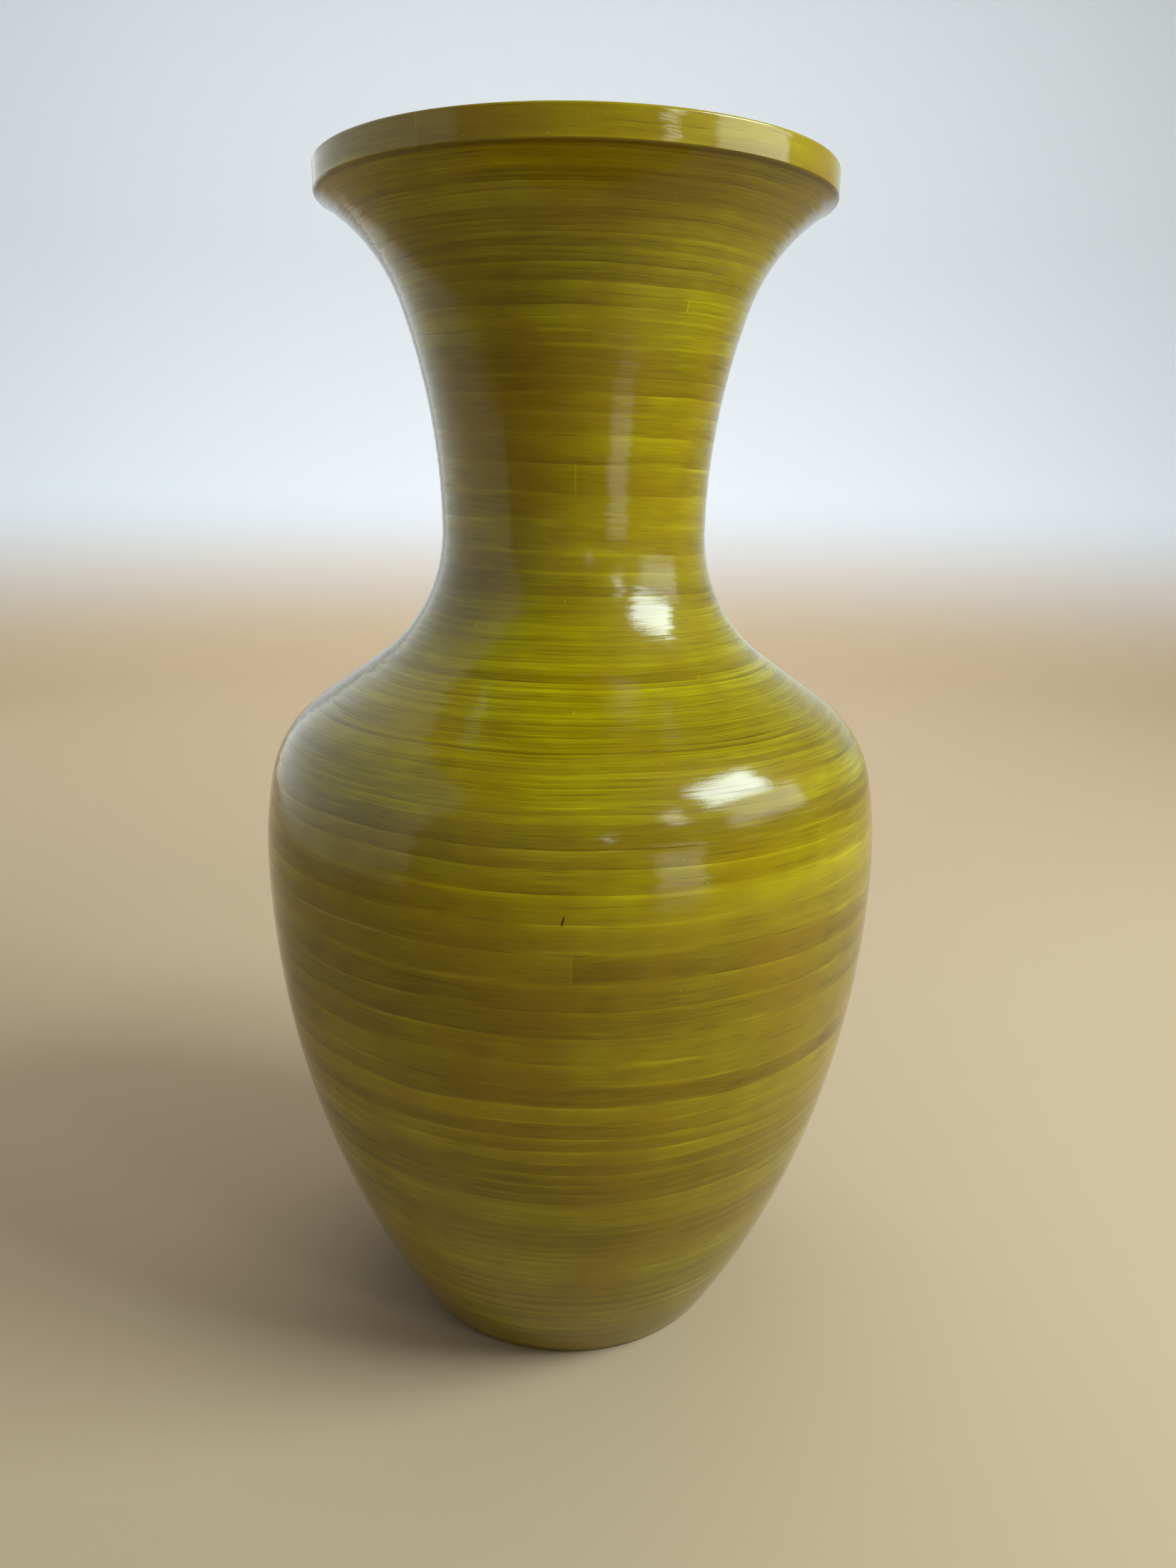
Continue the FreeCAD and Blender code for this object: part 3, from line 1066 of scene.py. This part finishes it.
    def foot_section(self, stretch: Stretch, outer: list[SectionPoint],
                     corner: tuple[float, float]) -> list[SectionPoint]:
        """The section of the coil that the vase stands on, with its shelf for the base.

        Args:
            stretch: the lower stretch of the outline.
            outer: the points up its outside.
            corner: its upper inner corner.

        Returns:
            The points in order, not yet closed.
        """
        base_top = self.outline.base_recess + self.strip.width
        reach = stretch.size - self.outline.wall
        shelf = stretch.origin[0] + math.sqrt(reach ** 2 - (stretch.origin[1] - base_top) ** 2)
        inner = self.outline.foot_radius - self.outline.foot_width
        wide = self.strip.thickness
        points = list(outer)
        while points[0].height < self.foot_ease:
            points.pop(0)
        eased = []
        for step in range(self.foot_steps):
            lift = QUARTER * step / self.foot_steps
            eased.append(SectionPoint(self.outline.foot_radius - self.foot_ease * (1 - math.sin(lift)),
                                      self.foot_ease * (1 - math.cos(lift)), outer[0].turn, wide))
        points = eased + points
        points += self.inside(corner, (shelf, base_top), outer[-1].turn, 0.0)
        points.append(SectionPoint(inner, base_top, 0.0, wide))
        points.append(SectionPoint(inner, self.foot_ease, 0.0, wide))
        points.append(SectionPoint(inner + self.foot_ease, 0.0, 0.0, wide))
        return points


@dataclass
class WoundBase:
    """The flat base: a rolled core and two coils wound round it."""

    outline: Outline = field(default_factory=Outline)
    strip: Strip = field(default_factory=Strip)
    core_radius: float = 8.0 * MM
    split_radius: float = 34.0 * MM
    step: float = 0.3 * MM

    def face(self, inner: float, outer: float, height: float, up: float) -> list[SectionPoint]:
        """Points across one face of the disc.

        Args:
            inner: the radius that it starts from.
            outer: the radius that it ends at.
            height: its height.
            up: 1 for the top and -1 for the underside.

        Returns:
            The points from the inner radius to the outer one.
        """
        rows = max(2, round(abs(outer - inner) / self.step))
        points = []
        for row in range(rows + 1):
            radius = inner + (outer - inner) * row / rows
            points.append(SectionPoint(radius, height, radius / self.strip.thickness,
                                       self.strip.thickness, 1.0, (0.0, up)))
        return points

    def build(self, carrier: CarryRound, tree: NodeTree, finish: Material) -> None:
        """Makes the core and the two rings, each in its node's place.

        Args:
            carrier: what carries a section round.
            tree: its node tree.
            finish: the lacquered bamboo.
        """
        bottom = self.outline.base_recess
        top = bottom + self.strip.width
        edge = self.outline.foot_radius - self.outline.foot_width
        rings = (("base_core", 0.0, self.core_radius),
                 ("base_inner_coil", self.core_radius, self.split_radius),
                 ("base_outer_coil", self.split_radius, edge))
        for name, inner, outer in rings:
            section = self.face(inner, outer, top, 1.0) + self.face(outer, inner, bottom, -1.0)
            if inner > 0.0:
                section.append(section[0])
            seat(carrier.carry(name + "_winding", section, tree, finish), name)


@dataclass
class RimBand:
    """The band of strips wound round the mouth, rounded over at the top."""

    outline: Outline = field(default_factory=Outline)
    strip: Strip = field(default_factory=Strip)
    ledge: float = 0.6 * MM
    rounding: float = 0.9 * MM
    underside_ease: float = 0.5 * MM
    inside_radius: float = 82.9 * MM
    steps: int = 10
    face_rows: int = 12
    steps_per_turn: int = 5
    start: float = 0.5 - 31.0 / 360.0  # the band's end shows 31 degrees left of the front
    underside_turn: float = 0.02
    face_turns: tuple[float, float] = (0.05, 0.65)
    edge_turns: tuple[float, float] = (0.65, 0.95)
    inside_turns: tuple[float, float] = (0.1, 0.9)

    def build(self, carrier: CarryRound, tree: NodeTree, finish: Material) -> None:
        """Makes the band in its node's place.

        Args:
            carrier: what carries a section round.
            tree: its node tree.
            finish: the lacquered bamboo.
        """
        outline = self.outline
        bottom = outline.lip_height
        top = bottom + self.strip.width
        outer = outline.waist_radius + outline.flare_spread + self.ledge
        inner = self.inside_radius
        thick = self.strip.thickness
        section = [SectionPoint(outer - self.underside_ease, bottom, self.underside_turn, self.strip.width)]
        straight = self.strip.width - self.rounding - self.underside_ease
        for row in range(self.face_rows + 1):
            share = row / self.face_rows
            section.append(SectionPoint(outer, bottom + self.underside_ease + straight * share,
                                        between(self.face_turns, share), self.strip.width))
        for step in range(1, self.steps + 1):
            share = step / self.steps
            lift = QUARTER * share
            section.append(SectionPoint(outer - self.rounding * (1 - math.cos(lift)),
                                        top - self.rounding * (1 - math.sin(lift)),
                                        between(self.edge_turns, share), self.strip.width))
        flat_outer, flat_inner = outer - self.rounding, inner + self.rounding
        rows = round((flat_outer - flat_inner) / (thick / self.steps_per_turn))
        for row in range(1, rows + 1):
            radius = flat_outer + (flat_inner - flat_outer) * row / rows
            section.append(SectionPoint(radius, top, 1.0 + (flat_outer - radius) / thick,
                                        thick, 1.0, (0.0, 1.0)))
        edge_turn, bottom_turn = (section[-1].turn + step for step in self.inside_turns)
        for step in range(1, self.steps + 1):
            lift = QUARTER * step / self.steps
            section.append(SectionPoint(inner + self.rounding * (1 - math.sin(lift)),
                                        top - self.rounding * (1 - math.cos(lift)),
                                        edge_turn, self.strip.width))
        section.append(SectionPoint(inner, bottom, bottom_turn, self.strip.width))
        section.append(section[0])
        piece = carrier.carry("rim_band_winding", section, tree, finish, spiral=False, start=self.start)
        seat(piece, "rim_band")


def between(ends: tuple[float, float], share: float) -> float:
    """The number at a share of the way from one end to the other."""
    return ends[0] + (ends[1] - ends[0]) * share


def seat(piece: bpy.types.Object, node: str) -> None:
    """Puts a piece in a node's place and ties it to the vase.

    Args:
        piece: the finished piece.
        node: the node that it stands for.
    """
    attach(piece, ROOT)
    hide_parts(node)
    LOG.info("%s: %d faces, stands for %s", piece.name, len(piece.data.polygons), node)


@dataclass(frozen=True)
class Softbox:
    """A rectangular studio light that faces the vase, at degrees from the front to the right and up."""

    name: str
    azimuth: float
    elevation: float
    distance: float
    wide: float
    high: float
    radiance: float
    colour: Colour = (1.0, 1.0, 1.0)
    aim: tuple[float, float, float] = (0.0, 0.0, 0.25)
    spread: float = 180.0
    reflected_only: bool = False
    never_reflected: bool = False

    def build(self) -> None:
        """Adds the light."""
        data = bpy.data.lights.new(self.name, "AREA")
        data.shape = "RECTANGLE"
        data.size = self.wide
        data.size_y = self.high
        data.energy = self.radiance * math.pi * self.wide * self.high
        data.color = self.colour
        data.spread = math.radians(self.spread)
        azimuth, elevation = math.radians(self.azimuth), math.radians(self.elevation)
        way = Vector((math.sin(azimuth) * math.cos(elevation),
                      -math.cos(azimuth) * math.cos(elevation),
                      math.sin(elevation)))
        light = bpy.data.objects.new(self.name, data)
        light.location = Vector(self.aim) + way * self.distance
        light.rotation_euler = way.to_track_quat("Z", "Y").to_euler()
        light.visible_camera = False
        light.visible_diffuse = not self.reflected_only
        light.visible_glossy = not self.never_reflected
        bpy.context.scene.collection.objects.link(light)


@dataclass
class Studio:
    """A plain pale floor that curves up into a backdrop, soft lights and the camera."""

    floor_radius: float = 1.6
    cove_radius: float = 0.8
    wall_height: float = 2.6
    cove_steps: int = 16
    around: int = 96
    floor_colour: Colour = (0.485, 0.364, 0.230)
    wall_colour: Colour = (0.70, 0.745, 0.80)
    warm_height: float = 0.3
    paint_roughness: float = 0.75
    paint_gloss: float = 0.2
    sky_colour: Colour = (0.55, 0.57, 0.6)
    sky_strength: float = 0.12
    near_clip: float = 0.01
    lens: float = 26.0
    sensor: float = 34.6
    eye: tuple[float, float, float] = (0.0, -0.4707, 0.3487)
    pitch: float = 15.087
    yaw: float = 0.822
    roll: float = 0.702

    def pale(self) -> Material:
        """The matt paint of the floor and backdrop, warmer below than above.

        Returns:
            The paint.
        """
        material = bpy.data.materials.new("pale_floor")
        material.use_nodes = True
        net = NodeNet(material.node_tree)
        shader = material.node_tree.nodes["Material Output"].inputs["Surface"].links[0].from_node
        shader.inputs["Roughness"].default_value = self.paint_roughness
        shader.inputs["Specular IOR Level"].default_value = self.paint_gloss
        height = net.split(net.add("ShaderNodeTexCoord")["Object"])["Z"]
        lifted = net.fade(height, Fade(0.0, self.warm_height, 0.0, 1.0))
        ramp = net.add("ShaderNodeValToRGB", {"Fac": lifted})
        for element, colour in zip(ramp.node.color_ramp.elements, (self.floor_colour, self.wall_colour)):
            element.color = (*colour, 1.0)
        net.feed(shader.inputs["Base Color"], ramp["Color"])
        return material

    def floor(self) -> None:
        """Adds the floor and the backdrop round it, in one sweep."""
        rows = [(0.0, 0.0), (self.floor_radius, 0.0)]
        for step in range(1, self.cove_steps + 1):
            lift = QUARTER * step / self.cove_steps
            rows.append((self.floor_radius + self.cove_radius * math.sin(lift),
                         self.cove_radius * (1 - math.cos(lift))))
        rows.append((rows[-1][0], self.wall_height))
        work = bmesh.new()
        angles = [TURN_ANGLE * n / self.around for n in range(self.around)]
        rings = []
        for radius, height in rows:
            if radius == 0.0:
                rings.append([work.verts.new((0.0, 0.0, height))])
                continue
            rings.append([work.verts.new((radius * math.cos(angle), radius * math.sin(angle), height))
                          for angle in angles])
        for low, high in zip(rings, rings[1:]):
            for n in range(self.around):
                after = (n + 1) % self.around
                if len(low) == 1:
                    work.faces.new((low[0], high[n], high[after]))
                else:
                    work.faces.new((low[n], high[n], high[after], low[after]))
        mesh = bpy.data.meshes.new("floor")
        work.to_mesh(mesh)
        work.free()
        mesh.shade_smooth()
        mesh.materials.append(self.pale())
        floor = bpy.data.objects.new("floor", mesh)
        bpy.context.scene.collection.objects.link(floor)

    def lights(self) -> None:
        """Adds the softboxes and a dim even sky."""
        # name, azimuth, elevation, distance, width, height, radiance, colour
        for box in (
            Softbox("window", 69.5, 37.5, 1.3, 0.64, 0.38, 30.5, (0.80, 0.955, 1.0)),
            Softbox("slit", 13.0, 13.0, 1.3, 0.035, 0.10, 19.0, (0.95, 0.98, 1.0), reflected_only=True),
            Softbox("small_window", 38.0, 26.0, 1.3, 0.14, 0.18, 15.0, (1.0, 0.97, 0.90)),
            Softbox("low_window", 36.0, -3.5, 1.0, 0.28, 0.22, 3.4, (0.95, 1.0, 1.0), reflected_only=True),
            Softbox("window_sill", 75.5, 18.5, 1.3, 0.80, 0.36, 5.0, (0.92, 0.97, 1.0),
                    reflected_only=True),
            Softbox("left_card", -101.0, 22.0, 0.9, 2.05, 1.2, 0.72, (0.93, 1.0, 0.95),
                    reflected_only=True),
            Softbox("left_fill", -91.0, 26.0, 1.3, 2.0, 1.6, 0.12, (0.97, 0.97, 1.0)),
            Softbox("top_fill", 0.0, 80.0, 1.6, 1.2, 1.2, 1.0, (0.93, 1.0, 1.0), never_reflected=True),
            Softbox("wall_light", 0.0, 62.0, 1.8, 1.6, 0.5, 8.0, (1.0, 0.99, 0.97), (0.0, 1.6, 0.7), 110.0),
        ):
            box.build()
        world = bpy.data.worlds.new("studio")
        world.use_nodes = True
        background = world.node_tree.nodes["Background"]
        background.inputs["Color"].default_value = (*self.sky_colour, 1.0)
        background.inputs["Strength"].default_value = self.sky_strength
        bpy.context.scene.world = world
        bpy.context.scene.view_settings.view_transform = "Standard"

    def camera(self) -> None:
        """Adds the camera where the photograph was taken from."""
        pitch, yaw, roll = map(math.radians, (self.pitch, self.yaw, self.roll))
        ahead = Vector((math.sin(yaw) * math.cos(pitch), math.cos(yaw) * math.cos(pitch), -math.sin(pitch)))
        right = Vector((math.cos(yaw), -math.sin(yaw), 0.0))
        above = right.cross(ahead)
        rolled_right = right * math.cos(roll) + above * math.sin(roll)
        rolled_above = above * math.cos(roll) - right * math.sin(roll)
        data = bpy.data.cameras.new("camera")
        data.sensor_width = self.sensor
        data.lens = self.lens
        data.clip_start = self.near_clip
        camera = bpy.data.objects.new("camera", data)
        camera.matrix_world = matrix_from(rolled_right, rolled_above, -ahead, Vector(self.eye))
        bpy.context.scene.collection.objects.link(camera)
        bpy.context.scene.camera = camera

    def build(self) -> None:
        """Sets up the whole studio."""
        self.floor()
        self.lights()
        self.camera()


def matrix_from(right: Vector, above: Vector, back: Vector, place: Vector) -> Matrix:
    """A placement from its three axes and its origin."""
    return Matrix(((right.x, above.x, back.x, place.x), (right.y, above.y, back.y, place.y),
                   (right.z, above.z, back.z, place.z), (0.0, 0.0, 0.0, 1.0)))


def main() -> None:
    """Builds the vase and its studio."""
    logging.basicConfig(level=logging.INFO, format="%(message)s")
    studio = Studio()
    studio.build()
    carrier = CarryRound()
    tree = carrier.build()
    finish = BambooLacquer().build()
    WoundBase().build(carrier, tree, finish)
    WoundWall().build(carrier, tree, finish)
    RimBand().build(carrier, tree, finish)


if __name__ == "__main__":
    main()
